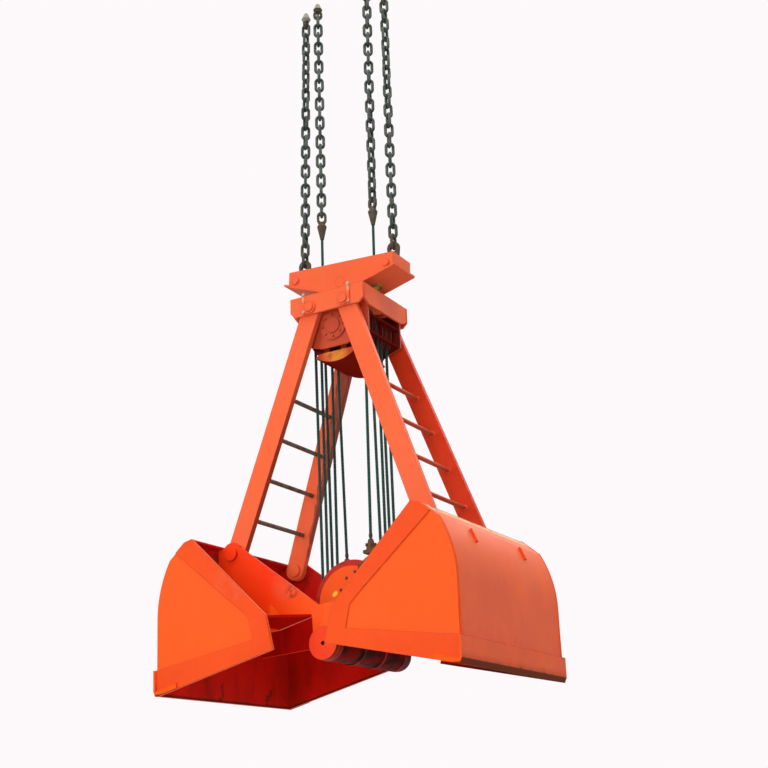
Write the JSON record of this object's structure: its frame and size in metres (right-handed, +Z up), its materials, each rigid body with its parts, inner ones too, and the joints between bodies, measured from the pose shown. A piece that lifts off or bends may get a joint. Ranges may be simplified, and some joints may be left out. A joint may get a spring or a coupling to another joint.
{
  "type": "clamshell grab bucket",
  "caption": "Four-rope clamshell grab hung on chains: two hinged shells, pivoted arms, a rocking head and a lower sheave block that lifts on reeved ropes to close the jaws.",
  "frame": {"origin": "midway between the mouths of the two holding rope sockets, above the beam's pivot", "axes": "+Z up along the hanging grab, +X the way the right shell opens, +Y across the shells away from the viewer"},
  "size_m": [2.9018, 2.056, 6.9801],
  "materials": {
    "orange_paint": "worn gloss",
    "worn_steel": "scuffed",
    "bronze_bush": "machined",
    "bare_steel": "weathered",
    "chain_steel": "greased and rusted",
    "rusty_steel": "rusted",
    "wire_rope": "greased",
    "sheave_iron": "greased"
  },
  "bodies": {
    "beam": {"balance_beam": "orange_paint", "beam_pins": "bare_steel", "rope_guides": "rusty_steel", "holding_connectors": "rusty_steel", "holding_chain_left": "chain_steel", "holding_chain_right": "chain_steel", "holding_sockets": "rusty_steel", "closing_chain_left": "chain_steel", "closing_chain_right": "chain_steel", "closing_sockets": "rusty_steel", "closing_rope_tops": "wire_rope"},
    "head": {"head_sides": "orange_paint", "head_ends": "orange_paint", "head_hangers": "orange_paint", "bearing_plates": "orange_paint", "upper_axle": "bare_steel", "bearing_covers": "orange_paint", "arm_top_pins": "orange_paint", "sheave_guard": "orange_paint", "upper_rope_wraps": "wire_rope", "rope_leads": "wire_rope", "rope_falls": "wire_rope", "rope_tails": "wire_rope"},
    "block": {"block_sides": "orange_paint", "lower_axle": "bare_steel", "hinge_pins": "bare_steel", "rope_anchors": "rusty_steel", "lower_rope_wraps": "wire_rope"},
    "shell_left": {"shell_left_sides": "orange_paint", "shell_left_back": "orange_paint", "shell_left_ribs": "orange_paint", "shell_left_bushes": "bronze_bush", "shell_left_ties": "orange_paint", "shell_left_doublers": "orange_paint", "shell_left_lip": "worn_steel"},
    "arms_left": {"arm_left_near": "orange_paint", "arm_left_far": "orange_paint", "arm_left_rungs": "bare_steel", "arm_left_eye_pins": "bare_steel"},
    "shell_right": {"shell_right_sides": "orange_paint", "shell_right_back": "orange_paint", "shell_right_ribs": "orange_paint", "shell_right_bushes": "bronze_bush", "shell_right_ties": "orange_paint", "shell_right_doublers": "orange_paint", "shell_right_lip": "worn_steel", "shell_right_hinge_caps": "orange_paint"},
    "arms_right": {"arm_right_near": "orange_paint", "arm_right_far": "orange_paint", "arm_right_rungs": "orange_paint", "arm_right_eye_pins": "bare_steel"},
    "upper_sheave_1": {"upper_sheave_1": "sheave_iron"},
    "upper_sheave_2": {"upper_sheave_2": "sheave_iron"},
    "upper_sheave_3": {"upper_sheave_3": "sheave_iron"},
    "upper_sheave_4": {"upper_sheave_4": "sheave_iron"},
    "lower_sheave_1": {"lower_sheave_1": "sheave_iron"},
    "lower_sheave_2": {"lower_sheave_2": "sheave_iron"},
    "lower_sheave_3": {"lower_sheave_3": "sheave_iron"},
    "lower_sheave_4": {"lower_sheave_4": "sheave_iron"}
  },
  "joints": [
    {"name": "head_rock", "type": "hinge", "parent": "beam", "child": "head", "pos_m": [0, 0, -3.1574], "axis": [0, 1, 0], "range_deg": [-5.4, 12.6], "deforming": ["rope_leads"]},
    {"name": "block_lift", "type": "slide", "parent": "head", "child": "block", "axis": [0, 0, 1], "range_m": [0, 1.67134], "deforming": ["rope_leads", "rope_falls", "rope_tails"]},
    {"name": "shell_left_swing", "type": "hinge", "parent": "block", "child": "shell_left", "pos_m": [0, 0, -6.55658], "axis": [0, 1, 0], "range_deg": [-77.25, 0]},
    {"name": "arms_left_swing", "type": "hinge", "parent": "head", "child": "arms_left", "pos_m": [-0.18, 0, -3.4574], "axis": [0, 1, 0], "range_deg": [0, 3.5]},
    {"name": "shell_right_swing", "type": "hinge", "parent": "block", "child": "shell_right", "pos_m": [0, 0, -6.55658], "axis": [0, 1, 0], "range_deg": [0, 77.25]},
    {"name": "arms_right_swing", "type": "hinge", "parent": "head", "child": "arms_right", "pos_m": [0.18, 0, -3.4574], "axis": [0, 1, 0], "range_deg": [-3.5, 0]},
    {"name": "upper_sheave_1_spin", "type": "hinge", "parent": "head", "child": "upper_sheave_1", "pos_m": [0, 0, -3.6424], "axis": [0, 1, 0], "range_deg": [-359.15, 0]},
    {"name": "upper_sheave_2_spin", "type": "hinge", "parent": "head", "child": "upper_sheave_2", "pos_m": [0, 0, -3.6424], "axis": [0, 1, 0], "range_deg": [-1076.46, 0]},
    {"name": "upper_sheave_3_spin", "type": "hinge", "parent": "head", "child": "upper_sheave_3", "pos_m": [0, 0, -3.6424], "axis": [0, 1, 0], "range_deg": [0, 1076.46]},
    {"name": "upper_sheave_4_spin", "type": "hinge", "parent": "head", "child": "upper_sheave_4", "pos_m": [0, 0, -3.6424], "axis": [0, 1, 0], "range_deg": [0, 359.15]},
    {"name": "lower_sheave_1_spin", "type": "hinge", "parent": "block", "child": "lower_sheave_1", "pos_m": [0, 0, -6.15158], "axis": [0, 1, 0], "range_deg": [-638.9, 0]},
    {"name": "lower_sheave_2_spin", "type": "hinge", "parent": "block", "child": "lower_sheave_2", "pos_m": [0, 0, -6.15158], "axis": [0, 1, 0], "range_deg": [-1277.31, 0]},
    {"name": "lower_sheave_3_spin", "type": "hinge", "parent": "block", "child": "lower_sheave_3", "pos_m": [0, 0, -6.15158], "axis": [0, 1, 0], "range_deg": [0, 1277.31]},
    {"name": "lower_sheave_4_spin", "type": "hinge", "parent": "block", "child": "lower_sheave_4", "pos_m": [0, 0, -6.15158], "axis": [0, 1, 0], "range_deg": [0, 638.9]}
  ],
  "couplings": [
    {"joint": "shell_left_swing", "follows": "block_lift", "rad_per_m": -0.80148},
    {"joint": "arms_left_swing", "follows": "block_lift", "rad_per_m": 0.031319},
    {"joint": "shell_right_swing", "follows": "block_lift", "rad_per_m": 0.80148},
    {"joint": "arms_right_swing", "follows": "block_lift", "rad_per_m": -0.031319},
    {"joint": "upper_sheave_1_spin", "follows": "block_lift", "rad_per_m": -3.7453},
    {"joint": "upper_sheave_2_spin", "follows": "block_lift", "rad_per_m": -11.236},
    {"joint": "upper_sheave_3_spin", "follows": "block_lift", "rad_per_m": 11.236},
    {"joint": "upper_sheave_4_spin", "follows": "block_lift", "rad_per_m": 3.7453},
    {"joint": "lower_sheave_1_spin", "follows": "block_lift", "rad_per_m": -6.6667},
    {"joint": "lower_sheave_2_spin", "follows": "block_lift", "rad_per_m": -13.333},
    {"joint": "lower_sheave_3_spin", "follows": "block_lift", "rad_per_m": 13.333},
    {"joint": "lower_sheave_4_spin", "follows": "block_lift", "rad_per_m": 6.6667}
  ]
}
